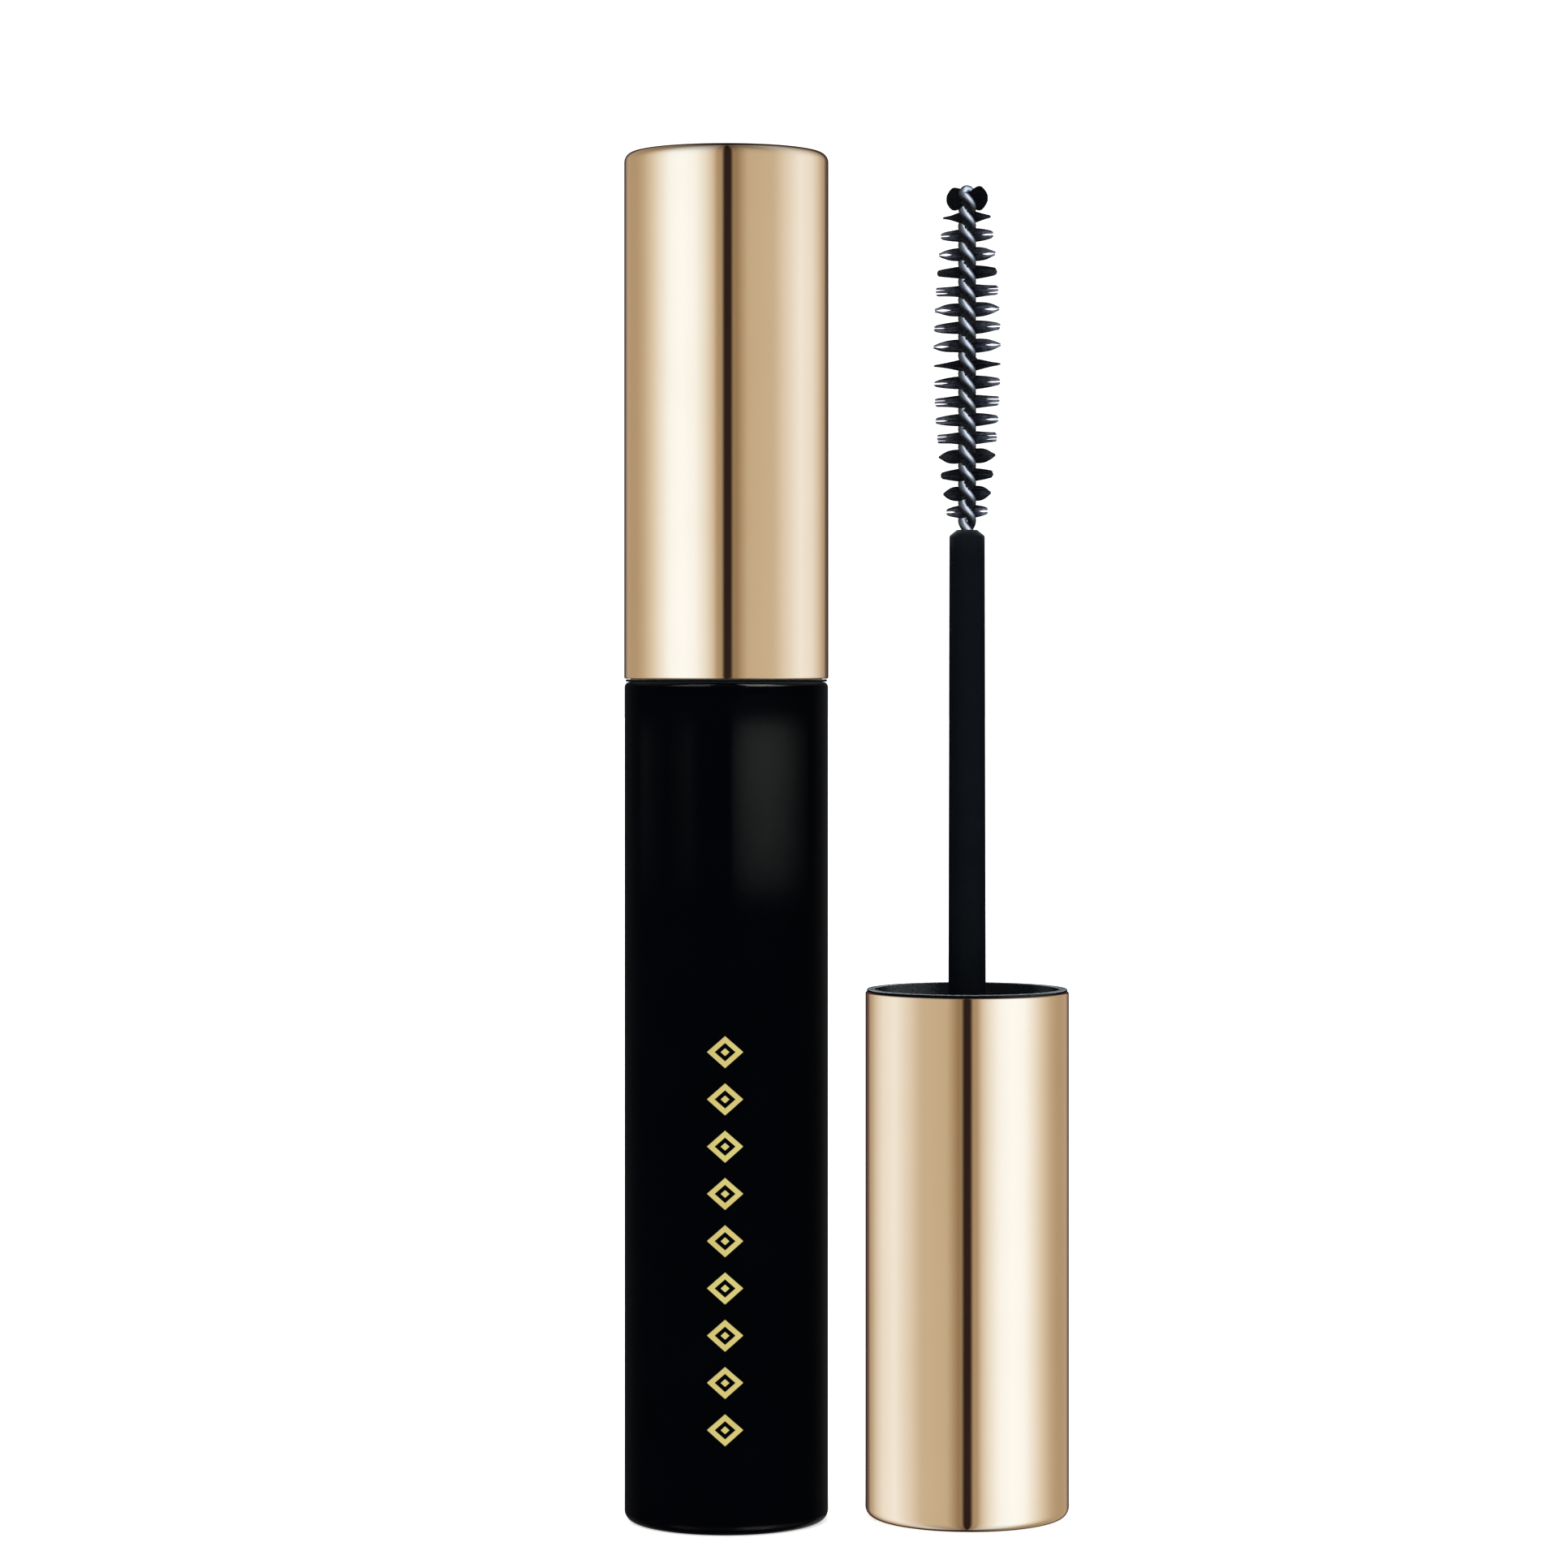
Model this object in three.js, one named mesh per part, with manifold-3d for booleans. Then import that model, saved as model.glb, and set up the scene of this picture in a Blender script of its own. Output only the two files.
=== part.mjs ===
// A mascara in two states, side by side: a closed tube with its applicator screwed in,
// and a second applicator drawn out and standing brush up on its cap.
// Millimetres, +Z up. The origin is the centre of the closed tube's base.
import * as THREE from "three";
import { mergeVertices } from "three/addons/utils/BufferGeometryUtils.js";
import Module from "manifold-3d";

const wasm = await Module();
wasm.setup();

// ---- Driving dimensions -------------------------------------------------------------

const TUBE_RADIUS = 8.5;
const BARREL_HEIGHT = 69.6;
const CAP_HEIGHT = 44;
const SEAM = 0.05; // between the barrel's shoulder and the cap's rim
const FIT = 0.15; // between pieces pressed into each other
const CLEARANCE = 0.2; // between pieces that only lie beside each other

const BARREL_WALL = 1.2;
const SHOULDER_EDGE = 0.6; // rounding of the barrel's shoulder
const FOOT_EDGE = 0.8; // rounding of the barrel's and the cap's closed end
const FLANGE_THICKNESS = 1.2; // of the barrel's shoulder
const PLUG_THICKNESS = 0.7;

const VIAL_WALL = 0.9;
const VIAL_FLOOR = 0.7;
const NECK_HEIGHT = 13.5;
const NECK_RADIUS = 5.2;
const NECK_BORE = 3.9;
const THREAD_PITCH = 3;
const THREAD_TURNS = 1.5;
const NECK_BEAD = 0.6; // radius of the round thread bead on the neck
const NECK_THREAD_START = 5; // above the shoulder
const BEAD_LIFT = 0.1; // from the neck's surface out to the middle of its bead
const CAP_BEAD = 0.5; // radius of the round thread bead in the cap
const CAP_THREAD_START = 7.8; // below the cap's rim, half a pitch under the neck's thread when closed

const WIPER_WALL = 0.5;
const WIPER_ORIFICE = 1.75;
const WIPER_FLANGE = 0.55;
const WIPER_LIP_HEIGHT = 1; // of its orifice above the shoulder
const WIPER_CONE = 3; // how far it narrows down to the orifice
const FILL_CHANNEL = 3.0; // the brush's own way through the mascara
const FILL_TOP = 58;

const SHELL_WALL = 0.5;
const SHELL_EDGE = 0.15; // bevel of the metal rim
const LIP_THICKNESS = 0.2; // of the inner cap's lip, which covers the metal rim
const LIP_GAP = 0.05;
const LIP_INSET = 0.12; // from the shell's outside to the lip's
const LIP_FLAT = 0.3; // of its end, inside the sleeve's radius
const LEAD_IN = 2.3; // how far the mouth narrows to the thread's bore
const SLEEVE_WALL = 1.2; // of the inner cap
const SLEEVE_DEPTH = 24;
const ROOF_THICKNESS = 1.6;
const BOSS_RADIUS = 3.0;
const BOSS_DEPTH = 6.5;
const SOCKET_FLOOR = 1; // of the boss, under the stem
const GASKET_THICKNESS = 0.6;
const GASKET_INSET = 0.3; // from the stem to its hole, and from the neck's outside to its edge

const STEM_RADIUS = 1.575; // where it leaves the cap
const STEM_TIP_RADIUS = 1.485;
const STEM_REACH = 38.35; // from the cap's rim to the stem's tip
const STEM_CHAMFER = 0.67;
const TIP_EDGE = 0.03; // width of the flat left round the wire at the stem's tip
const WIRE_SOCKET_DEPTH = 6;
const WIRE_SOCKET_END = 0.3; // between the socket's floor and the wire

const STRAND_RADIUS = 0.36;
const TWIST_RADIUS = 0.42; // from the brush's axis to the middle of a strand
const ROW_COUNT = 18;
const ROW_SPACING = 1.537; // half a turn of the twisted wire
const FIRST_ROW = 1.5; // from the stem's tip
const BRUSH_END_RADIUS = 1.74;
const BRUSH_MIDDLE_RADIUS = 2.83;
const ROW_TIP_HALF = 0.22; // half the thickness of a row at its tips
const ROW_ROOT = 0.2; // thickness of the sleeve that joins the rows
const WIRE_TIP_REACH = 67.15; // from the cap's rim to the end of the wire

const APPLICATOR_SPACING = 20.1; // between the closed tube's axis and the loose applicator's
const APPLICATOR_SETBACK = 1.5;

// ---- Places that follow ---------------------------------------------------------------

const RIM_Z = BARREL_HEIGHT + SEAM; // the closed cap's rim
const NECK_TOP = BARREL_HEIGHT + NECK_HEIGHT;
const BARREL_BORE = TUBE_RADIUS - BARREL_WALL;
const FLANGE_BORE = NECK_RADIUS + 0.9; // wide enough for the neck's thread to pass
const VIAL_RADIUS = BARREL_BORE - 0.4;
const SLEEVE_RADIUS = TUBE_RADIUS - SHELL_WALL - CLEARANCE / 2;
const SLEEVE_BORE = SLEEVE_RADIUS - SLEEVE_WALL;
const VIAL_FOOT = PLUG_THICKNESS + CLEARANCE;
const WIPER_TOP = NECK_TOP + SEAM + WIPER_FLANGE;
const ROOF_DEPTH = WIPER_TOP - RIM_Z + GASKET_THICKNESS + CLEARANCE; // from the rim to the inner cap's roof
const BOSS_END = ROOF_DEPTH + ROOF_THICKNESS + BOSS_DEPTH;
const WIRE_ENVELOPE = TWIST_RADIUS + STRAND_RADIUS;

const OUTER_SIDES = 36;
const INNER_SIDES = 24;
const SLIM_SIDES = 16;
const BRUSH_SIDES = 12;
const STRAND_SIDES = 5;
const STEPS_PER_TWIST = 8;
const BEND_SHARE = 0.02; // share of the wire's curve that goes over the hairpin
const THREAD_STEPS = 18;
const THREAD_SIDES = 6;
const ARC_STEPS = 4;

// ---- Materials ------------------------------------------------------------------------

const gold = new THREE.MeshStandardMaterial({ color: 0xd2ac78, roughness: 0.12, metalness: 1 });
const lacquer = new THREE.MeshStandardMaterial({ color: 0x030407, roughness: 0.1, metalness: 0 });
const blackPlastic = new THREE.MeshStandardMaterial({ color: 0x08090c, roughness: 0.3, metalness: 0 });
const vialPlastic = new THREE.MeshStandardMaterial({ color: 0x1a1b1e, roughness: 0.4, metalness: 0 });
const wiperRubber = new THREE.MeshStandardMaterial({ color: 0xd9d8d2, roughness: 0.6, metalness: 0 });
const linerFoam = new THREE.MeshStandardMaterial({ color: 0xe8e6df, roughness: 0.8, metalness: 0 });
const steelWire = new THREE.MeshStandardMaterial({ color: 0xb9bcc2, roughness: 0.2, metalness: 1 });
const nylon = new THREE.MeshStandardMaterial({ color: 0x06070b, roughness: 0.35, metalness: 0 });
const mascara = new THREE.MeshStandardMaterial({ color: 0x020203, roughness: 0.2, metalness: 0 });

// ---- Geometry helpers -------------------------------------------------------------------

// Points of a quarter round, from one angle to the other, about a centre in the profile plane.
function quarterRound(centreR, centreZ, radius, fromDegrees, toDegrees) {
  return Array.from({ length: ARC_STEPS + 1 }, (_, step) => {
    const turned = fromDegrees + ((toDegrees - fromDegrees) * step) / ARC_STEPS;
    const angle = THREE.MathUtils.degToRad(turned);
    return [centreR + radius * Math.cos(angle), centreZ + radius * Math.sin(angle)];
  });
}

// A solid of revolution about Z. The profile's [radius, z] points run up its outer side.
function turned(profile, sides) {
  const points = profile.map(([radius, z]) => new THREE.Vector2(radius, z));
  return new THREE.LatheGeometry(points, sides).rotateX(Math.PI / 2);
}

// The same for a ring, whose profile closes on itself.
function turnedRing(profile, sides) {
  return turned([...profile, profile[0]], sides);
}

// A round bar of a few sides, swept along a curve and closed at both ends.
function sweptBar(curve, radius, sides, steps) {
  const section = new THREE.Shape();
  for (let side = 0; side < sides; side += 1) {
    const angle = (2 * Math.PI * side) / sides;
    const corner = [radius * Math.cos(angle), radius * Math.sin(angle)];
    if (side === 0) section.moveTo(...corner);
    else section.lineTo(...corner);
  }
  section.closePath();
  return new THREE.ExtrudeGeometry(section, { steps, extrudePath: curve, bevelEnabled: false });
}

function solidOf(geometry) {
  const bare = new THREE.BufferGeometry();
  bare.setAttribute("position", geometry.getAttribute("position"));
  if (geometry.index) bare.setIndex(geometry.index);
  const merged = mergeVertices(bare, 1e-4);
  return new wasm.Manifold(
    new wasm.Mesh({
      numProp: 3,
      vertProperties: new Float32Array(merged.attributes.position.array),
      triVerts: new Uint32Array(merged.index.array),
    }),
  );
}

function joined(first, second) {
  const mesh = solidOf(first).add(solidOf(second)).getMesh();
  const geometry = new THREE.BufferGeometry();
  geometry.setAttribute("position", new THREE.BufferAttribute(mesh.vertProperties, 3));
  geometry.setIndex(new THREE.BufferAttribute(mesh.triVerts, 1));
  return geometry;
}

function piece(name, geometry, material) {
  const mesh = new THREE.Mesh(geometry, material);
  mesh.name = name;
  return mesh;
}

// ---- Curves -------------------------------------------------------------------------------

// A right-handed helix that rises from a starting height.
class ThreadHelix extends THREE.Curve {
  constructor(radius, startZ) {
    super();
    this.radius = radius;
    this.startZ = startZ;
  }

  getPoint(t) {
    const angle = 2 * Math.PI * THREAD_TURNS * t;
    const z = this.startZ + THREAD_PITCH * THREAD_TURNS * t;
    return new THREE.Vector3(this.radius * Math.cos(angle), this.radius * Math.sin(angle), z);
  }
}

// One wire bent double: up one strand of a left-handed twist, over the hairpin, down the other.
// Where a row of bristles points along X, the strands lie at either side of it, along Y.
class HairpinTwist extends THREE.Curve {
  constructor(startZ, endZ) {
    super();
    this.startZ = startZ;
    this.rise = endZ - startZ;
  }

  twistAt(z) {
    return Math.PI / 2 - (Math.PI * (z - STEM_REACH - FIRST_ROW)) / ROW_SPACING;
  }

  getPoint(t) {
    const strandShare = (1 - BEND_SHARE) / 2;
    const top = this.startZ + this.rise;
    if (t > strandShare && t < 1 - strandShare) {
      const over = (Math.PI * (t - strandShare)) / BEND_SHARE;
      const across = TWIST_RADIUS * Math.cos(over);
      const angle = this.twistAt(top);
      const z = top + TWIST_RADIUS * Math.sin(over);
      return new THREE.Vector3(across * Math.cos(angle), across * Math.sin(angle), z);
    }
    const climbing = t <= strandShare;
    const z = this.startZ + (this.rise * (climbing ? t : 1 - t)) / strandShare;
    const angle = this.twistAt(z) + (climbing ? 0 : Math.PI);
    return new THREE.Vector3(TWIST_RADIUS * Math.cos(angle), TWIST_RADIUS * Math.sin(angle), z);
  }
}

// ---- Bottle -------------------------------------------------------------------------------

function outerBarrel() {
  const top = BARREL_HEIGHT;
  const profile = [
    [BARREL_BORE, 0],
    ...quarterRound(TUBE_RADIUS - FOOT_EDGE, FOOT_EDGE, FOOT_EDGE, -90, 0),
    ...quarterRound(TUBE_RADIUS - SHOULDER_EDGE, top - SHOULDER_EDGE, SHOULDER_EDGE, 0, 90),
    [FLANGE_BORE, top],
    [FLANGE_BORE, top - FLANGE_THICKNESS],
    [BARREL_BORE, top - FLANGE_THICKNESS],
  ];
  return turnedRing(profile, OUTER_SIDES);
}

function basePlug() {
  const radius = BARREL_BORE - FIT;
  const profile = [
    [0, 0],
    [radius, 0],
    [radius, PLUG_THICKNESS],
    [0, PLUG_THICKNESS],
  ];
  return turned(profile, INNER_SIDES);
}

function innerVial() {
  const bore = VIAL_RADIUS - VIAL_WALL;
  const shoulder = BARREL_HEIGHT - FLANGE_THICKNESS - FIT;
  const collar = FLANGE_BORE - CLEARANCE;
  const profile = [
    [0, VIAL_FOOT],
    [VIAL_RADIUS, VIAL_FOOT],
    [VIAL_RADIUS, shoulder],
    [collar, shoulder],
    [collar, BARREL_HEIGHT],
    [NECK_RADIUS, BARREL_HEIGHT],
    [NECK_RADIUS, NECK_TOP],
    [NECK_BORE, NECK_TOP],
    [NECK_BORE, shoulder],
    [bore, shoulder - (bore - NECK_BORE)],
    [bore, VIAL_FOOT + VIAL_FLOOR],
    [0, VIAL_FOOT + VIAL_FLOOR],
  ];
  const bead = new ThreadHelix(NECK_RADIUS + BEAD_LIFT, BARREL_HEIGHT + NECK_THREAD_START);
  const thread = sweptBar(bead, NECK_BEAD, THREAD_SIDES, THREAD_STEPS * THREAD_TURNS);
  return joined(turned(profile, INNER_SIDES), thread);
}

function wiper() {
  const outside = NECK_BORE - FIT;
  const inside = outside - WIPER_WALL;
  const flangeRadius = NECK_RADIUS - CLEARANCE / 2;
  const flangeZ = WIPER_TOP - WIPER_FLANGE;
  const lipZ = BARREL_HEIGHT + WIPER_LIP_HEIGHT;
  const coneZ = lipZ + WIPER_CONE;
  const profile = [
    [WIPER_ORIFICE, lipZ],
    [WIPER_ORIFICE + WIPER_WALL, lipZ],
    [outside, coneZ],
    [outside, flangeZ],
    [flangeRadius, flangeZ],
    [flangeRadius, WIPER_TOP],
    [inside, WIPER_TOP],
    [inside, coneZ],
  ];
  return turnedRing(profile, INNER_SIDES);
}

function mascaraFill() {
  const outside = VIAL_RADIUS - VIAL_WALL - FIT;
  const floor = VIAL_FOOT + VIAL_FLOOR + FIT;
  const profile = [
    [FILL_CHANNEL, floor],
    [outside, floor],
    [outside, FILL_TOP],
    [FILL_CHANNEL, FILL_TOP],
  ];
  return turnedRing(profile, INNER_SIDES);
}

// ---- Applicator -----------------------------------------------------------------------------
// Its own frame has the cap's rim at z = 0, the brush above it and the cap below.

function capShell() {
  const bore = TUBE_RADIUS - SHELL_WALL;
  const floor = -CAP_HEIGHT;
  const rim = -LIP_THICKNESS - LIP_GAP;
  const profile = [
    [0, floor],
    ...quarterRound(TUBE_RADIUS - FOOT_EDGE, floor + FOOT_EDGE, FOOT_EDGE, -90, 0),
    [TUBE_RADIUS, rim - SHELL_EDGE],
    [TUBE_RADIUS - SHELL_EDGE, rim],
    [bore + SHELL_EDGE, rim],
    [bore, rim - SHELL_EDGE],
    [bore, floor + FOOT_EDGE],
    [bore - FOOT_EDGE / 2, floor + SHELL_WALL],
    [0, floor + SHELL_WALL],
  ];
  return turned(profile, OUTER_SIDES);
}

function innerCap() {
  const lipRadius = TUBE_RADIUS - LIP_INSET;
  const socketRadius = STEM_RADIUS + FIT;
  const roof = -ROOF_DEPTH;
  const profile = [
    [0, -BOSS_END],
    [BOSS_RADIUS, -BOSS_END],
    [BOSS_RADIUS, roof - ROOF_THICKNESS],
    [SLEEVE_BORE, roof - ROOF_THICKNESS],
    [SLEEVE_BORE, -SLEEVE_DEPTH],
    [SLEEVE_RADIUS, -SLEEVE_DEPTH],
    [SLEEVE_RADIUS, -LIP_THICKNESS],
    [lipRadius, -LIP_THICKNESS],
    [lipRadius, 0],
    [SLEEVE_RADIUS - LIP_FLAT, 0],
    [SLEEVE_BORE, -LEAD_IN],
    [SLEEVE_BORE, roof],
    [socketRadius, roof],
    [socketRadius, SOCKET_FLOOR - BOSS_END],
    [0, SOCKET_FLOOR - BOSS_END],
  ];
  const bead = new ThreadHelix(SLEEVE_BORE, -CAP_THREAD_START);
  const thread = sweptBar(bead, CAP_BEAD, THREAD_SIDES, THREAD_STEPS * THREAD_TURNS);
  return joined(turned(profile, INNER_SIDES), thread);
}

function capGasket() {
  const hole = STEM_RADIUS + GASKET_INSET;
  const rim = NECK_RADIUS - GASKET_INSET;
  const top = -ROOF_DEPTH + CLEARANCE / 2 + GASKET_THICKNESS;
  const profile = [
    [hole, top - GASKET_THICKNESS],
    [rim, top - GASKET_THICKNESS],
    [rim, top],
    [hole, top],
  ];
  return turnedRing(profile, SLIM_SIDES);
}

function stem() {
  const socketRadius = WIRE_ENVELOPE + FIT;
  const foot = SOCKET_FLOOR + CLEARANCE - BOSS_END;
  const profile = [
    [0, foot],
    [STEM_RADIUS, foot],
    [STEM_RADIUS, 0],
    [STEM_TIP_RADIUS, STEM_REACH - STEM_CHAMFER],
    [socketRadius + TIP_EDGE, STEM_REACH],
    [socketRadius, STEM_REACH],
    [socketRadius, STEM_REACH - WIRE_SOCKET_DEPTH],
    [0, STEM_REACH - WIRE_SOCKET_DEPTH],
  ];
  return turned(profile, SLIM_SIDES);
}

function brushWire() {
  const startZ = STEM_REACH - WIRE_SOCKET_DEPTH + WIRE_SOCKET_END;
  const endZ = WIRE_TIP_REACH - WIRE_ENVELOPE;
  const turns = (endZ - startZ) / (2 * ROW_SPACING);
  const steps = 2 * Math.round(turns * STEPS_PER_TWIST) + ARC_STEPS;
  return sweptBar(new HairpinTwist(startZ, endZ), STRAND_RADIUS, STRAND_SIDES, steps);
}

// The bristles' rows as ribs on a thin sleeve: a spindle, widest halfway.
function bristles() {
  const bore = WIRE_ENVELOPE + CLEARANCE;
  const root = bore + ROW_ROOT;
  const half = ROW_SPACING / 2;
  const rows = Array.from({ length: ROW_COUNT }, (_, row) => {
    const along = row / (ROW_COUNT - 1);
    const swell = (BRUSH_MIDDLE_RADIUS - BRUSH_END_RADIUS) * Math.sin(Math.PI * along);
    return { z: STEM_REACH + FIRST_ROW + ROW_SPACING * row, radius: BRUSH_END_RADIUS + swell };
  });
  const end = rows[ROW_COUNT - 1].z + half;
  const profile = [
    [bore, rows[0].z - half],
    ...rows.flatMap(({ z, radius }) => [
      [root, z - half],
      [radius, z - ROW_TIP_HALF],
      [radius, z + ROW_TIP_HALF],
    ]),
    [root, end],
    [bore, end],
  ];
  return turnedRing(profile, BRUSH_SIDES);
}

// The whole applicator; the loose one's pieces have the same names with a prefix.
function applicator(prefix) {
  const group = new THREE.Group();
  group.add(
    piece(`${prefix}cap_shell`, capShell(), gold),
    piece(`${prefix}inner_cap`, innerCap(), blackPlastic),
    piece(`${prefix}cap_gasket`, capGasket(), linerFoam),
    piece(`${prefix}stem`, stem(), blackPlastic),
    piece(`${prefix}brush_wire`, brushWire(), steelWire),
    piece(`${prefix}bristles`, bristles(), nylon),
  );
  return group;
}

// ---- Assembly -------------------------------------------------------------------------------

const bottle = new THREE.Group();
bottle.add(
  piece("outer_barrel", outerBarrel(), lacquer),
  piece("base_plug", basePlug(), blackPlastic),
  piece("inner_vial", innerVial(), vialPlastic),
  piece("wiper", wiper(), wiperRubber),
  piece("mascara_fill", mascaraFill(), mascara),
);

const closedApplicator = applicator("");
closedApplicator.rotation.x = Math.PI;
closedApplicator.position.z = RIM_Z;

const looseApplicator = applicator("loose_");
looseApplicator.position.set(APPLICATOR_SPACING, APPLICATOR_SETBACK, CAP_HEIGHT);

const mascaraSet = new THREE.Group();
mascaraSet.add(bottle, closedApplicator, looseApplicator);

export default mascaraSet;
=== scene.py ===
# The looks of the mascara: smooth shells, threads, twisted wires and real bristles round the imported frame.
# Metres, +Z up. Sizes that the frame doesn't give are in millimetres times MM.
import math
import random

import bmesh
import bpy
from mathutils import Matrix, Vector


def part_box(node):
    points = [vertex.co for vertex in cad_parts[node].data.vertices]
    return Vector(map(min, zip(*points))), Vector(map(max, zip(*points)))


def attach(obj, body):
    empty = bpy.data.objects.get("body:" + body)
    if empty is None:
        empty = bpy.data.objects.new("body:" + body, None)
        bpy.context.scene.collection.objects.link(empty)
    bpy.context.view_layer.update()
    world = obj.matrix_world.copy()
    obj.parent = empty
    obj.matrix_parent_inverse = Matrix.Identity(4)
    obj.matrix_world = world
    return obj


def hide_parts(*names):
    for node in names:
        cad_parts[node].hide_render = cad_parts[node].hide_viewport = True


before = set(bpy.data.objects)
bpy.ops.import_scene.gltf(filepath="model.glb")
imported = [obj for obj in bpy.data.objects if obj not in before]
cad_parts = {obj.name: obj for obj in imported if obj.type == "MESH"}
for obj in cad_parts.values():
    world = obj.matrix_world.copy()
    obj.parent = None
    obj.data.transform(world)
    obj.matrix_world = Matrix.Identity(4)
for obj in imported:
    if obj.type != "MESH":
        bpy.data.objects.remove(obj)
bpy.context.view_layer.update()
random.seed(11)

MM = 0.001
TAU = 2 * math.pi


# ---- Sizes from the frame --------------------------------------------------------------------


def height(node):
    low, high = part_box(node)
    return high.z - low.z


def radius(node):
    low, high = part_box(node)
    return (high.x - low.x) / 2


TUBE_RADIUS = radius("outer_barrel")
SKIN_RADIUS = TUBE_RADIUS - 0.03 * MM
BARREL_HEIGHT = height("outer_barrel")
CLOSED_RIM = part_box("inner_cap")[0].z
LOOSE_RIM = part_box("loose_inner_cap")[1].z
SHELL_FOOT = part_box("loose_cap_shell")[0].z - LOOSE_RIM
SHELL_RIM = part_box("loose_cap_shell")[1].z - LOOSE_RIM
LIP_RADIUS = radius("loose_inner_cap")
LOOSE_AXIS = sum(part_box("loose_stem"), Vector()) / 2
VIAL_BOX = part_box("inner_vial")
WIPER_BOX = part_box("wiper")
STEM_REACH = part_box("loose_stem")[1].z - LOOSE_RIM
STEM_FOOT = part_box("loose_stem")[0].z - LOOSE_RIM
WIRE_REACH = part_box("loose_brush_wire")[1].z - LOOSE_RIM
WIRE_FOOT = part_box("loose_brush_wire")[0].z - LOOSE_RIM
BRUSH_RADIUS = radius("loose_bristles")
INNER_CAP_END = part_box("loose_inner_cap")[0].z - LOOSE_RIM
GASKET_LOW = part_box("loose_cap_gasket")[0].z - LOOSE_RIM
GASKET_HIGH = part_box("loose_cap_gasket")[1].z - LOOSE_RIM

# ---- Sizes that the frame's boxes don't give -----------------------------------------------------

BEVEL = 0.1 * MM
FOOT_EDGE = 0.8 * MM
SHOULDER_EDGE = 0.45 * MM
BARREL_WALL = 1.2 * MM
SEAM = 0.01 * MM
FLANGE_BORE = 6.1 * MM
SHELL_WALL = 0.42 * MM
RIM_BEAD = 0.13 * MM
SLEEVE_RADIUS = TUBE_RADIUS - 0.52 * MM
SLEEVE_BORE = SLEEVE_RADIUS - 1.2 * MM
ROOF_THICKNESS = 1.6 * MM
BOSS_RADIUS = 3 * MM
NECK_RADIUS = 5.2 * MM
NECK_BORE = 3.9 * MM
THREAD_PITCH = 3 * MM
THREAD_TURNS = 1.5
NECK_THREAD_START = 5 * MM
CAP_THREAD_START = 7.8 * MM
THREAD_DEPTH = 0.68 * MM
THREAD_HALF = 0.75 * MM
CAP_THREAD_SHARE = 0.75
LIP_THICKNESS = 0.2 * MM
WIPER_BORE = 3.2 * MM
WIPER_LIP = 1.72 * MM
STEM_RADIUS = 1.57 * MM
STEM_TIP_RADIUS = 1.48 * MM
STEM_CHAMFER = 0.50 * MM
WIRE_BORE = 0.80 * MM
STRAND_RADIUS = 0.375 * MM
TWIST_RADIUS = 0.39 * MM
HAIRPIN_ANGLE = math.pi / 6
ROW_COUNT = 18
ROW_SPACING = 1.537 * MM
FIRST_ROW = STEM_REACH + 1.5 * MM
BRUSH_END_RADIUS = 1.74 * MM
LAST_ROW = FIRST_ROW + ROW_SPACING * (ROW_COUNT - 1)
FIBRE_RADIUS = 0.07 * MM
FIBRE_ROOT = 0.1 * MM
FIBRE_TAPER = 0.25
SHORTEST_SHARE = 0.96
TIP_DOME = 0.06
FAN_ANGLE = 0.55
LOCK_SPREAD = 0.1
ANGLE_GATHERED = 0.85
STRAY = 0.03 * MM
ROW_WANDER = 0.04 * MM
ROW_TILT = 0.035
LOCK_FLARE = 1.7 * MM

SMOOTH_SIDES = 160
FINE_SIDES = 96
STEM_SIDES = 64
WIRE_SIDES = 14
FIBRE_SIDES = 5
FIBRE_STEPS = 8
THREAD_RINGS = 110
ARC_STEPS = 10
EDGE_MARGIN = 0.25 * MM
SAME = 1e-7


# ---- Mesh tools ----------------------------------------------------------------------------------


def quarter_round(centre_r, centre_z, arc_radius, start, end):
    """Profile points of an arc, from one angle to another in degrees."""
    steps = [math.radians(start + (end - start) * i / ARC_STEPS) for i in range(ARC_STEPS + 1)]
    return [(centre_r + arc_radius * math.cos(a), centre_z + arc_radius * math.sin(a)) for a in steps]


def upright(r, low, high):
    """A straight wall: a ring close to each end keeps its shading flat up to the rounded edges."""
    return [(r, low + EDGE_MARGIN), (r, high - EDGE_MARGIN)]


def finished(name, mesh_data, material, sharp_degrees=32):
    """An object from a bmesh, smooth but for edges sharper than the angle."""
    bmesh.ops.recalc_face_normals(mesh_data, faces=mesh_data.faces)
    mesh = bpy.data.meshes.new(name)
    mesh_data.to_mesh(mesh)
    mesh_data.free()
    mesh.polygons.foreach_set("use_smooth", [True] * len(mesh.polygons))
    mesh.set_sharp_from_angle(angle=math.radians(sharp_degrees))
    mesh.materials.append(material)
    piece = bpy.data.objects.new(name, mesh)
    bpy.context.collection.objects.link(piece)
    return piece


def lathe(name, profile, sides, material, relief=None):
    """A closed solid of revolution about Z. The profile runs from axis to axis, or closes on itself.

    relief(angle, z, r) gives how far a point stands out from its profile radius.
    """
    work = bmesh.new()
    rings = []
    for r, z in profile:
        if r < SAME:
            rings.append([work.verts.new((0, 0, z))])
            continue
        ring = []
        for i in range(sides):
            angle = TAU * i / sides
            reach = r + (relief(angle, z, r) if relief else 0)
            ring.append(work.verts.new((reach * math.cos(angle), reach * math.sin(angle), z)))
        rings.append(ring)
    open_ended = len(rings[0]) == 1
    pairs = list(zip(rings, rings[1:] if open_ended else rings[1:] + rings[:1]))
    for low, high in pairs:
        for i in range(sides):
            j = (i + 1) % sides
            if len(low) == 1:
                work.faces.new((low[0], high[i], high[j]))
            elif len(high) == 1:
                work.faces.new((low[j], low[i], high[0]))
            else:
                work.faces.new((low[i], low[j], high[j], high[i]))
    return finished(name, work, material)


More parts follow.
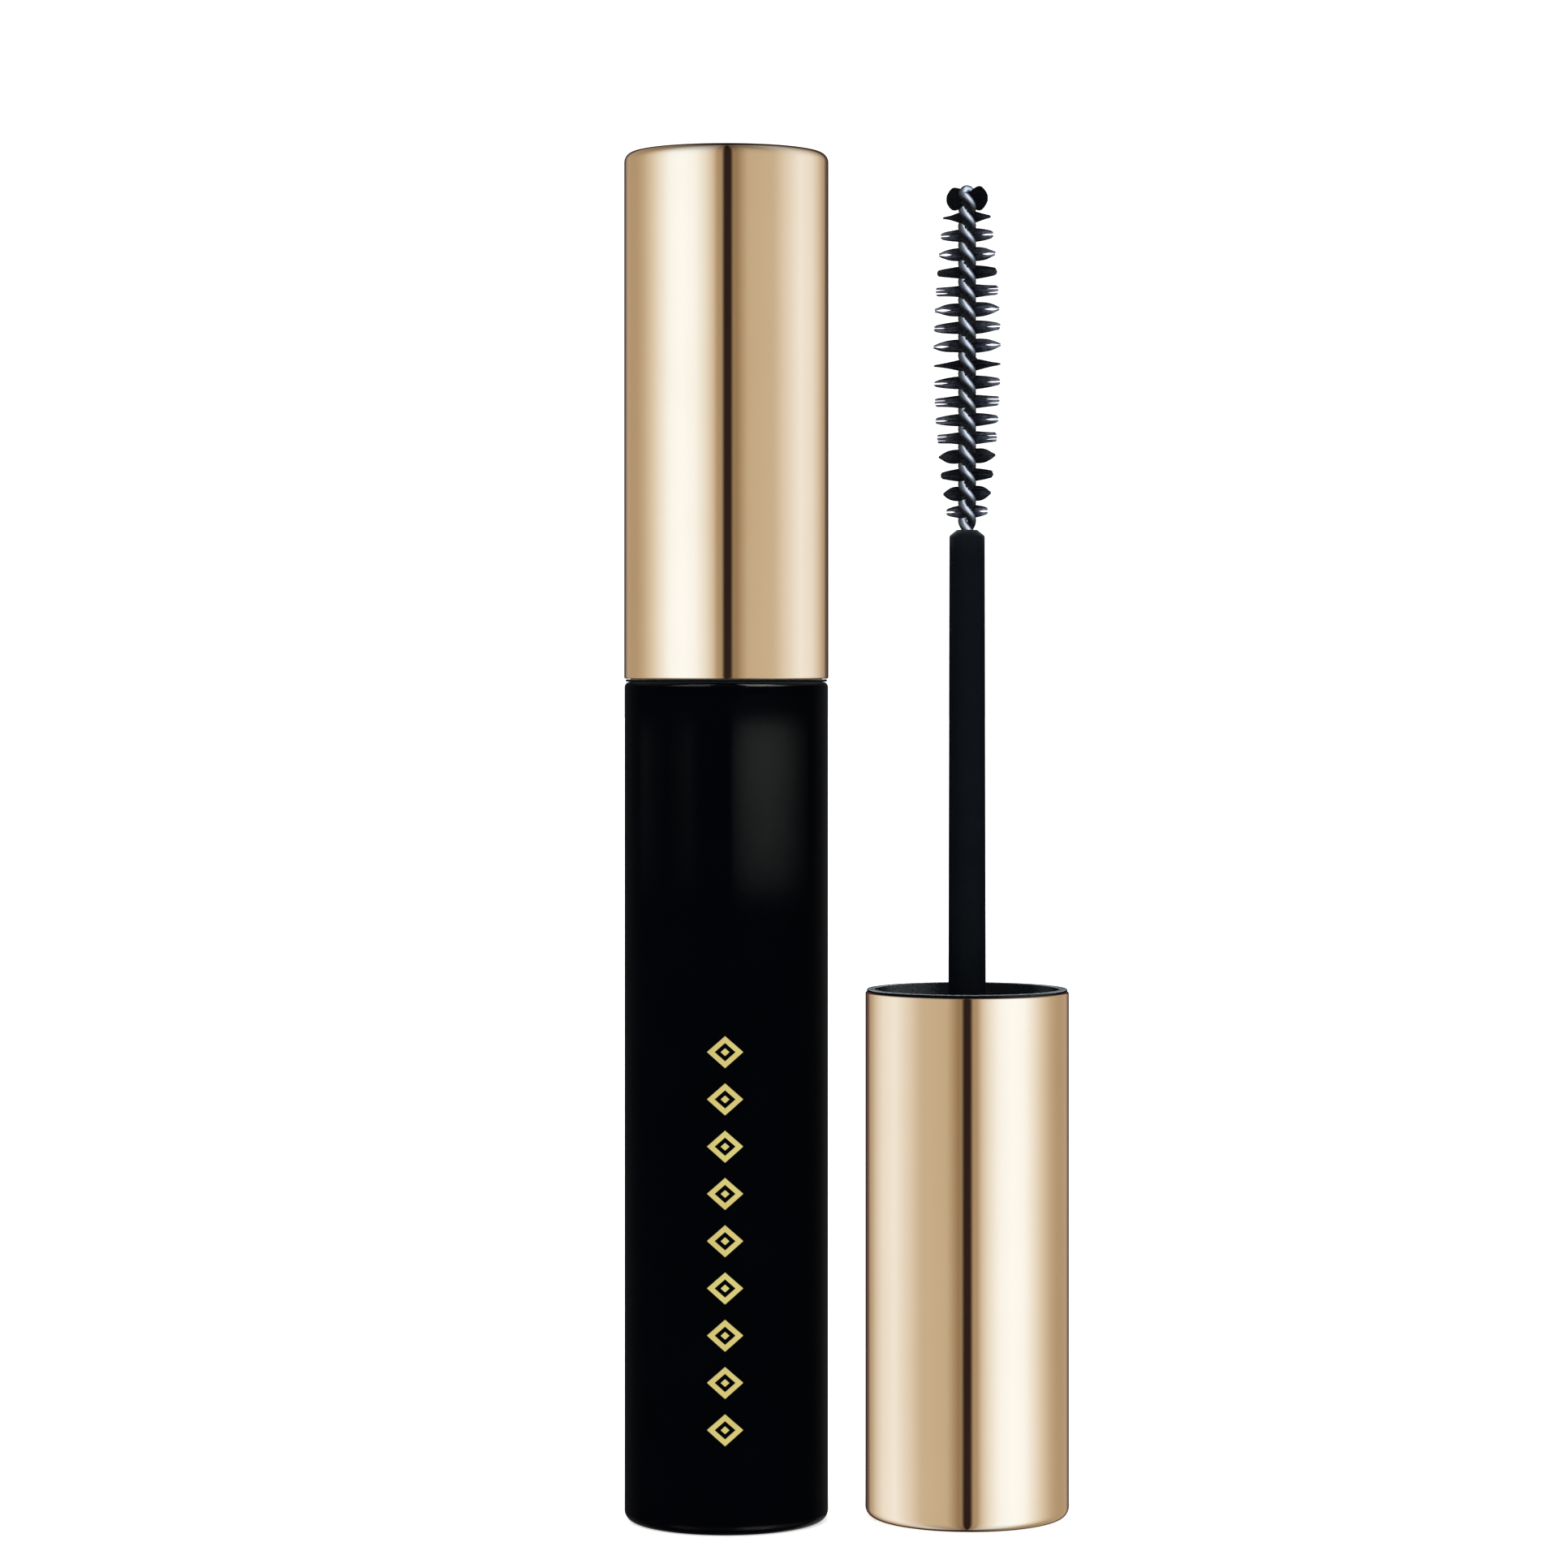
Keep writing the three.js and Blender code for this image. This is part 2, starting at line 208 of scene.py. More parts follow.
def add_tube(work, points, radii, sides):
    """Adds a round tube along points to a bmesh, closed at both ends, and gives back its rings."""
    tangents = [(b - a).normalized() for a, b in zip(points, points[1:])]
    tangents = [tangents[0]] + [(a + b).normalized() for a, b in zip(tangents, tangents[1:])] + [tangents[-1]]
    across = tangents[0].orthogonal().normalized()
    rings = []
    for point, tangent, r in zip(points, tangents, radii):
        across = (across - tangent * across.dot(tangent)).normalized()
        up = tangent.cross(across)
        ring = []
        for i in range(sides):
            angle = TAU * i / sides
            ring.append(work.verts.new(point + r * (math.cos(angle) * across + math.sin(angle) * up)))
        rings.append(ring)
    for low, high in zip(rings, rings[1:]):
        for i in range(sides):
            j = (i + 1) % sides
            work.faces.new((low[i], low[j], high[j], high[i]))
    work.faces.new(list(reversed(rings[0])))
    work.faces.new(rings[-1])
    return rings


def span(start, end, steps):
    return [start + (end - start) * i / steps for i in range(steps + 1)]


# ---- Node tools ----------------------------------------------------------------------------------


def new_material(name):
    """A material, its node tree and its Principled shader."""
    material = bpy.data.materials.new(name)
    material.use_nodes = True
    tree = material.node_tree
    return material, tree, tree.nodes["Principled BSDF"]


def set_plain(shader, **values):
    names = {"coat": "Coat Weight", "coat_roughness": "Coat Roughness", "ior": "IOR",
             "metallic": "Metallic", "specular": "Specular IOR Level"}
    for key, value in values.items():
        shader.inputs[names[key]].default_value = value


def noise(tree, scale, detail=4.0, stretch=(1, 1, 1)):
    """Noise in object space, with its scale in features per metre."""
    place = tree.nodes.new("ShaderNodeTexCoord")
    mapping = tree.nodes.new("ShaderNodeMapping")
    mapping.inputs["Scale"].default_value = stretch
    texture = tree.nodes.new("ShaderNodeTexNoise")
    texture.inputs["Scale"].default_value = scale
    texture.inputs["Detail"].default_value = detail
    tree.links.new(place.outputs["Object"], mapping.inputs["Vector"])
    tree.links.new(mapping.outputs["Vector"], texture.inputs["Vector"])
    return texture.outputs["Fac"]


def between(tree, factor, low, high):
    """Maps a 0 to 1 factor to a range of numbers."""
    spread = tree.nodes.new("ShaderNodeMapRange")
    spread.inputs["To Min"].default_value = low
    spread.inputs["To Max"].default_value = high
    tree.links.new(factor, spread.inputs["Value"])
    return spread.outputs["Result"]


def colours(tree, factor, low, high):
    """Mixes two colours by a factor."""
    mix = tree.nodes.new("ShaderNodeMix")
    mix.data_type = "RGBA"
    mix.inputs["A"].default_value = (*low, 1)
    mix.inputs["B"].default_value = (*high, 1)
    tree.links.new(factor, mix.inputs["Factor"])
    return mix.outputs["Result"]


def bumped(tree, shader, bump_height, depth, strength=1.0):
    """A bump of a real depth in metres."""
    bump = tree.nodes.new("ShaderNodeBump")
    bump.inputs["Strength"].default_value = strength
    bump.inputs["Distance"].default_value = depth
    tree.links.new(bump_height, bump.inputs["Height"])
    tree.links.new(bump.outputs["Normal"], shader.inputs["Normal"])


# ---- Materials -----------------------------------------------------------------------------------


def gold_metal():
    material, tree, shader = new_material("gold_metal")
    set_plain(shader, metallic=1.0)
    cloud = noise(tree, 90, 3)
    tree.links.new(colours(tree, cloud, (0.90, 0.69, 0.43), (0.95, 0.74, 0.48)), shader.inputs["Base Color"])
    smudge = noise(tree, 260, 6, (1, 1, 0.4))
    tree.links.new(between(tree, smudge, 0.035, 0.09), shader.inputs["Roughness"])
    bumped(tree, shader, noise(tree, 500, 2, (1, 1, 0.15)), 0.0015 * MM, 0.5)
    return material


def black_lacquer():
    material, tree, shader = new_material("black_lacquer")
    set_plain(shader, coat=0.4, coat_roughness=0.03)
    cloud = noise(tree, 140, 3)
    tree.links.new(colours(tree, cloud, (0.0003, 0.0004, 0.0008), (0.0006, 0.0009, 0.0018)),
                   shader.inputs["Base Color"])
    tree.links.new(between(tree, noise(tree, 320, 6), 0.02, 0.06), shader.inputs["Roughness"])
    bumped(tree, shader, noise(tree, 420, 2), 0.002 * MM, 0.4)
    return material


def moulded_plastic(name, shades, rough, grain):
    """Moulded plastic: shades and rough are (low, high) pairs, and grain is in features per metre."""
    material, tree, shader = new_material(name)
    tree.links.new(colours(tree, noise(tree, 300, 4), *shades), shader.inputs["Base Color"])
    tree.links.new(between(tree, noise(tree, 900, 6), *rough), shader.inputs["Roughness"])
    bumped(tree, shader, noise(tree, grain, 5), 0.004 * MM, 0.5)
    return material


def wet_mascara():
    material, tree, shader = new_material("mascara_paste")
    set_plain(shader, coat=0.6, coat_roughness=0.08)
    tree.links.new(colours(tree, noise(tree, 700, 5), (0.004, 0.003, 0.004), (0.012, 0.010, 0.012)),
                   shader.inputs["Base Color"])
    tree.links.new(between(tree, noise(tree, 500, 5), 0.15, 0.45), shader.inputs["Roughness"])
    bumped(tree, shader, noise(tree, 900, 4), 0.12 * MM, 0.8)
    return material


def steel_wire():
    """Bright drawn wire, with fine draw lines along it."""
    material, tree, shader = new_material("steel_wire")
    set_plain(shader, metallic=1.0)
    tree.links.new(colours(tree, noise(tree, 1500, 4), (0.50, 0.53, 0.60), (0.74, 0.76, 0.80)),
                   shader.inputs["Base Color"])
    lines = noise(tree, 5000, 3, (1, 1, 0.12))
    tree.links.new(between(tree, lines, 0.24, 0.40), shader.inputs["Roughness"])
    bumped(tree, shader, lines, 0.003 * MM, 0.5)
    return material


def bristle_nylon():
    """Black fibres, some of them painted paler and bluer towards their cut ends: a painted highlight for
    light catching their thin tips.
    """
    material, tree, shader = new_material("bristle_nylon")
    set_plain(shader, ior=1.53)
    # The pale fibre tips are a painted highlight: the pale share times noise, mixed from black nylon to pale
    # blue.
    pale = tree.nodes.new("ShaderNodeAttribute")
    pale.attribute_name = "pale"
    painted_tip_light = tree.nodes.new("ShaderNodeMath")
    painted_tip_light.operation = "MULTIPLY"
    tree.links.new(pale.outputs["Fac"], painted_tip_light.inputs[0])
    tree.links.new(between(tree, noise(tree, 2500, 3), -0.6, 2.6), painted_tip_light.inputs[1])
    painted_tip_light.use_clamp = True
    tree.links.new(colours(tree, painted_tip_light.outputs["Value"], (0.0015, 0.002, 0.004), (0.20, 0.23, 0.32)),
                   shader.inputs["Base Color"])
    tree.links.new(between(tree, noise(tree, 4000, 3), 0.18, 0.34), shader.inputs["Roughness"])
    bumped(tree, shader, noise(tree, 9000, 2), 0.002 * MM, 0.4)
    return material


def gold_foil():
    """Hot-stamped foil: paler than the cap, a little uneven."""
    material, tree, shader = new_material("gold_foil")
    set_plain(shader, metallic=1.0)
    tree.links.new(colours(tree, noise(tree, 420, 5), (0.60, 0.43, 0.15), (0.68, 0.64, 0.24)),
                   shader.inputs["Base Color"])
    tree.links.new(between(tree, noise(tree, 3000, 4), 0.30, 0.50), shader.inputs["Roughness"])
    bumped(tree, shader, noise(tree, 6000, 3), 0.004 * MM, 0.5)
    return material


GOLD = gold_metal()
LACQUER = black_lacquer()
BLACK_PLASTIC = moulded_plastic(
    "black_plastic", [(0.0008, 0.0020, 0.0025), (0.002, 0.004, 0.005)], (0.16, 0.30), 2500)
STEM_PLASTIC = moulded_plastic(
    "stem_plastic", [(0.0012, 0.0028, 0.005), (0.003, 0.005, 0.008)], (0.24, 0.36), 1500)
VIAL_PLASTIC = moulded_plastic(
    "vial_plastic", [(0.010, 0.011, 0.013), (0.017, 0.018, 0.021)], (0.14, 0.24), 700)
WIPER_RUBBER = moulded_plastic(
    "wiper_rubber", [(0.52, 0.50, 0.46), (0.66, 0.64, 0.60)], (0.45, 0.62), 3000)
GASKET_FOAM = moulded_plastic(
    "gasket_foam", [(0.66, 0.64, 0.59), (0.78, 0.76, 0.71)], (0.7, 0.9), 6000)
PASTE = wet_mascara()
WIRE = steel_wire()
NYLON = bristle_nylon()
FOIL = gold_foil()


# ---- Bottle --------------------------------------------------------------------------------------


def thread_relief(start, outward):
    """A rounded right-handed thread that fades in and out over its first and last eighth of a turn."""

    def relief(angle, z, _r):
        stand = 0.0
        for turn in range(-1, 3):
            travelled = turn + angle / TAU
            if not 0 <= travelled <= THREAD_TURNS:
                continue
            offset = abs(z - start - THREAD_PITCH * travelled)
            if offset < THREAD_HALF:
                fade = min(1, travelled * 8, (THREAD_TURNS - travelled) * 8)
                stand = max(stand, fade * THREAD_DEPTH * math.cos(offset / THREAD_HALF * math.pi / 2) ** 0.6)
        return outward * stand

    return relief


def barrel():
    bore = TUBE_RADIUS - BARREL_WALL
    top = CLOSED_RIM - SEAM
    profile = [
        (bore, 0.0),
        *quarter_round(SKIN_RADIUS - FOOT_EDGE, FOOT_EDGE, FOOT_EDGE, -90, 0),
        *upright(SKIN_RADIUS, FOOT_EDGE, top - SHOULDER_EDGE),
        *quarter_round(SKIN_RADIUS - SHOULDER_EDGE, top - SHOULDER_EDGE, SHOULDER_EDGE, 0, 90),
        (FLANGE_BORE + BEVEL, top),
        (FLANGE_BORE, top - BEVEL),
        (FLANGE_BORE, top - BARREL_WALL),
        (bore, top - BARREL_WALL),
    ]
    piece = lathe("barrel_shell", profile, SMOOTH_SIDES, LACQUER)
    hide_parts("outer_barrel")
    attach(piece, "bottle")
    return piece


def foot_plug():
    """A disc with a moulding dimple in its middle and a groove near its edge."""
    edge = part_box("base_plug")[1].x
    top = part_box("base_plug")[1].z
    depth = 0.12 * MM
    dimple = 0.6 * MM
    groove = 5.75 * MM
    groove_width = 0.3 * MM
    slope = 0.15 * MM
    profile = [
        (0, depth),
        (dimple, depth),
        (dimple + BEVEL, 0),
        (groove - slope, 0),
        (groove, depth),
        (groove + groove_width, depth),
        (groove + groove_width + slope, 0),
        (edge - BEVEL, 0),
        (edge, BEVEL),
        (edge, top),
        (0, top),
    ]
    piece = lathe("foot_plug", profile, FINE_SIDES, BLACK_PLASTIC)
    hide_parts("base_plug")
    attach(piece, "bottle")
    return piece


def vial():
    low, high = VIAL_BOX
    outside = high.x
    wall = 0.9 * MM
    bore = outside - wall
    shoulder = BARREL_HEIGHT - BARREL_WALL - 0.15 * MM
    collar = FLANGE_BORE - 0.2 * MM
    rim_bevel = 2 * BEVEL
    neck_rings = [(NECK_RADIUS, z) for z in span(BARREL_HEIGHT, high.z - rim_bevel, THREAD_RINGS)]
    profile = [
        (0, low.z),
        (outside, low.z),
        (outside, shoulder),
        (collar, shoulder),
        (collar, BARREL_HEIGHT),
        *neck_rings,
        (NECK_RADIUS - rim_bevel, high.z),
        (NECK_BORE + BEVEL, high.z),
        (NECK_BORE, high.z - BEVEL),
        (NECK_BORE, shoulder),
        (bore, shoulder - (bore - NECK_BORE)),
        (bore, low.z + wall),
        (0, low.z + wall),
    ]
    thread = thread_relief(BARREL_HEIGHT + NECK_THREAD_START, 1)

    def neck_only(angle, z, r):
        return thread(angle, z, r) if abs(r - NECK_RADIUS) < SAME else 0

    piece = lathe("threaded_vial", profile, FINE_SIDES, VIAL_PLASTIC, neck_only)
    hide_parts("inner_vial")
    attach(piece, "bottle")
    return piece


def neck_wiper():
    low, high = WIPER_BOX
    flange = 0.55 * MM
    wall = 0.5 * MM
    cone = 3 * MM
    outside = WIPER_BORE + wall
    profile = [
        (WIPER_LIP, low.z),
        (WIPER_LIP + wall, low.z),
        (outside, low.z + cone),
        (outside, high.z - flange),
        (high.x - 0.1 * MM, high.z - flange),
        *quarter_round(high.x - 0.25 * MM, high.z - 0.25 * MM, 0.25 * MM, 0, 90),
        *quarter_round(WIPER_BORE + 0.35 * MM, high.z - 0.35 * MM, 0.35 * MM, 90, 180),
        (WIPER_BORE, low.z + cone),
    ]
    piece = lathe("neck_wiper", profile, FINE_SIDES, WIPER_RUBBER)
    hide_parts("wiper")
    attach(piece, "bottle")
    return piece


def foil_marks():
    """Nine plain lozenges down the front, each an outline round a small solid one."""
    count = 9
    first, last = 39.5 * MM, 8.7 * MM
    half_width, half_height = 1.48 * MM, 1.30 * MM
    hole, middle = 0.58, 0.24
    proud = 0.012 * MM
    work = bmesh.new()

    def on_barrel(x, z, lift):
        angle = x / SKIN_RADIUS
        reach = SKIN_RADIUS + lift
        return work.verts.new((reach * math.sin(angle), -reach * math.cos(angle), z))

    def lozenge_ring(centre_z, size):
        steps = 6
        corners = [(0, -1), (1, 0), (0, 1), (-1, 0)]
        points = []
        for (xa, za), (xb, zb) in zip(corners, corners[1:] + corners[:1]):
            points += [(xa + (xb - xa) * i / steps, za + (zb - za) * i / steps) for i in range(steps)]
        return [(x * half_width * size, centre_z + z * half_height * size) for x, z in points]

    def frame_of(centre_z, outer, inner):
        rings = []
        for size, lift in ((outer, -proud), (outer, proud), (inner, proud), (inner, -proud)):
            rings.append([on_barrel(x, z, lift) for x, z in lozenge_ring(centre_z, size)])
        for near, far in zip(rings, rings[1:] + rings[:1]):
            for i in range(len(near)):
                j = (i + 1) % len(near)
                work.faces.new((near[i], near[j], far[j], far[i]))

    def solid_of(centre_z, size):
        outline = lozenge_ring(centre_z, size)
        under, face = [[on_barrel(x, z, lift) for x, z in outline] for lift in (-proud, proud)]
        for i in range(len(under)):
            j = (i + 1) % len(under)
            work.faces.new((under[i], under[j], face[j], face[i]))
        work.faces.new(under)
        work.faces.new(face)

    for centre_z in span(first, last, count - 1):
        frame_of(centre_z, 1.0, hole)
        solid_of(centre_z, middle)
    piece = finished("foil_marks", work, FOIL)
    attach(piece, "bottle")
    return piece


# ---- Applicator, in its own frame: rim at z = 0, brush up, cap down --------------------------------


def cap_shell(name):
    bore = TUBE_RADIUS - SHELL_WALL
    inner_floor = SHELL_FOOT + 0.6 * MM
    profile = [
        (0, SHELL_FOOT),
        (TUBE_RADIUS - FOOT_EDGE - EDGE_MARGIN, SHELL_FOOT),
        *quarter_round(TUBE_RADIUS - FOOT_EDGE, SHELL_FOOT + FOOT_EDGE, FOOT_EDGE, -90, 0),
        *upright(TUBE_RADIUS, SHELL_FOOT + FOOT_EDGE, SHELL_RIM - RIM_BEAD),
        *quarter_round(TUBE_RADIUS - RIM_BEAD, SHELL_RIM - RIM_BEAD, RIM_BEAD, 0, 90),
        *quarter_round(bore + RIM_BEAD, SHELL_RIM - RIM_BEAD, RIM_BEAD, 90, 180),
        (bore, inner_floor + 0.6 * MM),
        (bore - 0.6 * MM, inner_floor),
        (0, inner_floor),
    ]
    return lathe(name, profile, SMOOTH_SIDES, GOLD)


def inner_cap(name):
    """The black liner: a lip over the metal rim, the thread, the roof and the boss that holds the stem."""
    roof = GASKET_LOW - 0.1 * MM
    back = roof - ROOF_THICKNESS
    sleeve_end = back - 7 * MM
    socket = STEM_RADIUS + 0.12 * MM
    socket_floor = STEM_FOOT - 0.1 * MM
    lip_edge = 0.09 * MM
    lip_bore = SLEEVE_RADIUS - 0.3 * MM
    lead_in = 2.3 * MM
    corner = 0.3 * MM
    thread_rings = [(SLEEVE_BORE, z) for z in span(-lead_in, roof + corner, THREAD_RINGS)]
    profile = [
        (0, INNER_CAP_END),
        (BOSS_RADIUS, INNER_CAP_END),
        (BOSS_RADIUS, back),
        (SLEEVE_BORE, back),
        (SLEEVE_BORE, sleeve_end),
        (SLEEVE_RADIUS, sleeve_end),
        (SLEEVE_RADIUS, -LIP_THICKNESS),
        *quarter_round(LIP_RADIUS - lip_edge, lip_edge - LIP_THICKNESS, lip_edge, -90, 0),
        *quarter_round(LIP_RADIUS - lip_edge, -lip_edge, lip_edge, 0, 90),
        *quarter_round(lip_bore + lip_edge, -lip_edge, lip_edge, 90, 180),
        *thread_rings,
        (SLEEVE_BORE - corner, roof),
        (socket, roof),
        (socket, socket_floor),
        (0, socket_floor),
    ]
    thread = thread_relief(-CAP_THREAD_START, -1)

    def bore_only(angle, z, r):
        return CAP_THREAD_SHARE * thread(angle, z, r) if abs(r - SLEEVE_BORE) < SAME and z > roof else 0

    return lathe(name, profile, FINE_SIDES, BLACK_PLASTIC, bore_only)


def gasket(name):
    hole = STEM_RADIUS + 0.3 * MM
    edge = NECK_RADIUS - 0.3 * MM
    rounding = 0.15 * MM
    profile = [
        (hole, GASKET_LOW),
        (edge - rounding, GASKET_LOW),
        *quarter_round(edge - rounding, GASKET_HIGH - rounding, rounding, 0, 90),
        *quarter_round(hole + rounding, GASKET_HIGH - rounding, rounding, 90, 180),
    ]
    return lathe(name, profile, FINE_SIDES, GASKET_FOAM)


def stem(name):
    """A gently tapered rod with a chamfered tip that holds the wire."""
    edge = 0.12 * MM
    chamfer = STEM_REACH - STEM_CHAMFER
    taper = [
        (STEM_RADIUS + (STEM_TIP_RADIUS - STEM_RADIUS) * z / chamfer, z)
        for z in span(0, chamfer - edge, 24)
    ]
    profile = [
        (0, STEM_FOOT),
        (STEM_RADIUS - edge, STEM_FOOT),
        (STEM_RADIUS, STEM_FOOT + edge),
        *taper,
        (STEM_TIP_RADIUS - 0.05 * MM, chamfer + 0.02 * MM),
        (WIRE_BORE + 0.05 * MM, STEM_REACH - 0.02 * MM),
        (WIRE_BORE, STEM_REACH - 0.05 * MM),
        (WIRE_BORE, WIRE_FOOT - 0.2 * MM),
        (0, WIRE_FOOT - 0.2 * MM),
    ]
    return lathe(name, profile, STEM_SIDES, STEM_PLASTIC)


def twist_at(z):
    """Direction of the fibres at a height: along X at each row, turning left-handed between them."""
    return -math.pi * (z - FIRST_ROW) / ROW_SPACING


def strand_angle(z, loop_z):
    """Direction of the first strand, across the fibres. The last turn eases to bring the hairpin face on."""
    easing = max(0, (z - LAST_ROW) / (loop_z - LAST_ROW))
    remaining = math.pi / 2 + twist_at(loop_z) - HAIRPIN_ANGLE
    remaining -= math.pi * round(remaining / math.pi)
    return twist_at(z) + math.pi / 2 - remaining * easing


def brush_wire(name):
    """One wire bent double and twisted, with its hairpin at the tip."""
    loop_z = WIRE_REACH - STRAND_RADIUS - TWIST_RADIUS
    foot = WIRE_FOOT + STRAND_RADIUS
    climb_steps, bend_steps = 300, 16
    climb = []
    for z in span(foot, loop_z, climb_steps):
        angle = strand_angle(z, loop_z)
        climb.append(Vector((TWIST_RADIUS * math.cos(angle), TWIST_RADIUS * math.sin(angle), z)))
    descent = [Vector((-p.x, -p.y, p.z)) for p in reversed(climb)]
    outward = Vector((climb[-1].x, climb[-1].y, 0))
    bend = []
    for step in range(1, bend_steps):
        angle = math.pi * step / bend_steps
        bend.append(outward * math.cos(angle) + Vector((0, 0, loop_z + TWIST_RADIUS * math.sin(angle))))
    points = climb + bend + descent
    work = bmesh.new()
    add_tube(work, points, [STRAND_RADIUS] * len(points), WIRE_SIDES)
    return finished(name, work, WIRE, 60)


def brush_radius(z):
    """Outline of the brush: a spindle, widest halfway."""
    along = (z - FIRST_ROW) / (LAST_ROW - FIRST_ROW)
    swell = math.sin(math.pi * min(1, max(0, along))) ** 0.8
    return BRUSH_END_RADIUS + (BRUSH_RADIUS - BRUSH_END_RADIUS) * swell


# The locks that the fibres gather in. "tips" and "swell" are half a lock's height at its tip and halfway
# along; "body" is how much of that height the prongs fill, where 1 leaves no gap between them; "pale" is
# how strongly its middle fibres get the painted highlight at their tips.
LOCKS = {
    "pointed": {"prongs": 1, "tips": 0.05 * MM, "swell": 0.05 * MM, "body": 1.0, "fibres": 18, "pale": 0.1},
    "bar": {"prongs": 1, "tips": 0.25 * MM, "swell": 0.12 * MM, "body": 1.0, "fibres": 24, "pale": 0.1},
    "fork": {"prongs": 2, "tips": 0.24 * MM, "swell": 0.14 * MM, "body": 0.60, "fibres": 26, "pale": 0.6},
    "trident": {"prongs": 3, "tips": 0.33 * MM, "swell": 0.08 * MM, "body": 0.42, "fibres": 27, "pale": 0.7},
    "loop": {"prongs": 2, "tips": 0.12 * MM, "swell": 0.25 * MM, "body": 0.50, "fibres": 26, "pale": 0.8},
    "leaf": {"prongs": 1, "tips": 0.10 * MM, "swell": 0.34 * MM, "body": 1.0, "fibres": 26, "pale": 0.15},
    "tuft": {"prongs": 1, "tips": 0.38 * MM, "swell": 0.62 * MM, "body": 1.0, "fibres": 60, "pale": 0.0},
    "band": {"prongs": 1, "tips": 0.40 * MM, "swell": 0.05 * MM, "body": 1.0, "fibres": 26, "pale": 0.0},
}

# The locks that point along X, from the stem to the tip.
ROW_LOCKS = [
    "fork", "leaf", "bar", "leaf", "trident", "fork", "trident", "fork", "pointed",
    "loop", "fork", "loop", "trident", "bar", "loop", "fork", "pointed", "tuft",
]


def add_fibre(work, root_z, lock_z, side, level, lock):
    """Half a fibre, from between the strands out to its tip. level is its place in the lock, from -1 to 1."""
    root_angle = twist_at(root_z) + side
    lock_angle = twist_at(lock_z) + side + random.uniform(-LOCK_SPREAD, LOCK_SPREAD)
    reach = brush_radius(lock_z) * random.uniform(SHORTEST_SHARE, 1.0) * (1 - TIP_DOME * level ** 2)
    fan = random.uniform(-FAN_ANGLE, FAN_ANGLE)
    stray = random.uniform(-STRAY, STRAY)
    prong = math.floor((level + 1) / 2 * lock["prongs"])
    prong_level = 2 * prong / (lock["prongs"] - 1) - 1 if lock["prongs"] > 1 else 0
    prong_part = prong_level + (level - prong_level) * lock["body"]
    shares = span(0, 1, FIBRE_STEPS)
    points, radii = [], []
    for share in shares:
        r = FIBRE_ROOT + (reach - FIBRE_ROOT) * share
        gathered = 1 - (1 - share) ** 1.3
        angle = root_angle + (lock_angle - root_angle) * ANGLE_GATHERED * gathered
        angle += fan * (1 - share) * min(1, share * 6)
        parting = min(1, max(0, 3 * share - 1.2))
        part = level + (prong_part - level) * parting
        parted = lock["tips"] * share ** 1.5 + lock["swell"] * math.sin(math.pi * share ** 1.7)
        flare = LOCK_FLARE * level * share * (1 - share) ** 3
        z = root_z + (lock_z - root_z) * gathered + part * parted + flare + stray * share
        z += ROW_TILT * r * math.cos(angle)
        points.append(Vector((r * math.cos(angle), r * math.sin(angle), z)))
        radii.append(FIBRE_RADIUS * (1 - FIBRE_TAPER * share ** 4))
    # Each fibre's share of the painted tip highlight, strongest in the middle of the lock and towards the
    # tip.
    pale = work.verts.layers.float["pale"]
    for share, ring in zip(shares, add_tube(work, points, radii, FIBRE_SIDES)):
        for corner in ring:
            corner[pale] = lock["pale"] * share ** 2 * (1 - level ** 2)


def add_lock(work, lock_z, lock):
    """The fibres of a quarter turn of the twist, gathered on both sides of the wire."""
    quarter = ROW_SPACING / 2
    for side in (0, math.pi):
        for index in range(lock["fibres"]):
            level = 2 * (index + 0.5) / lock["fibres"] - 1
            add_fibre(work, lock_z + level * quarter / 2, lock_z, side, level, lock)


def bristles(name):
    """Fibres held between the strands, in four locks a turn: each fibre passes right through the wire."""
    work = bmesh.new()
    # A share of painted tip highlight for each vertex of the fibres.
    work.verts.layers.float.new("pale")
    for row, kind in enumerate(ROW_LOCKS):
        row_z = FIRST_ROW + ROW_SPACING * row
        add_lock(work, row_z + random.uniform(-ROW_WANDER, ROW_WANDER), LOCKS[kind])
        if row_z < LAST_ROW:
            add_lock(work, row_z + ROW_SPACING / 2, LOCKS["band"])
    return finished(name, work, NYLON, 60)


# ---- Both applicators -----------------------------------------------------------------------------

CLOSED_PLACE = Matrix.Translation((0, 0, CLOSED_RIM)) @ Matrix.Rotation(math.pi, 4, "X")
LOOSE_PLACE = Matrix.Translation((LOOSE_AXIS.x, LOOSE_AXIS.y, LOOSE_RIM))

APPLICATOR_PIECES = [
    ("shell", cap_shell, "cap_shell", "gold_metal"),
    ("liner", inner_cap, "inner_cap", "black_plastic"),
    ("gasket", gasket, "cap_gasket", "gasket_foam"),
    ("wand", stem, "stem", "stem_plastic"),
    ("twisted_wire", brush_wire, "brush_wire", "steel_wire"),
    ("fibres", bristles, "bristles", "bristle_nylon"),
]


def applicator(label, prefix, body, gasket_body, place):
    made = []
    for word, build, node, slot in APPLICATOR_PIECES:
        piece = build(f"{label}_{word}")
        piece.data.transform(place)
        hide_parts(prefix + node)
        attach(piece, gasket_body if word == "gasket" else body)
        made.append(piece)
    return made


# ---- Studio ----------------------------------------------------------------------------------------

CAMERA_HEIGHT = 71 * MM
CAMERA_DISTANCE = 392 * MM
CAMERA_X = 4.8 * MM
FOCAL_LENGTH = 108.1
HORIZON_SHIFT = -0.0756


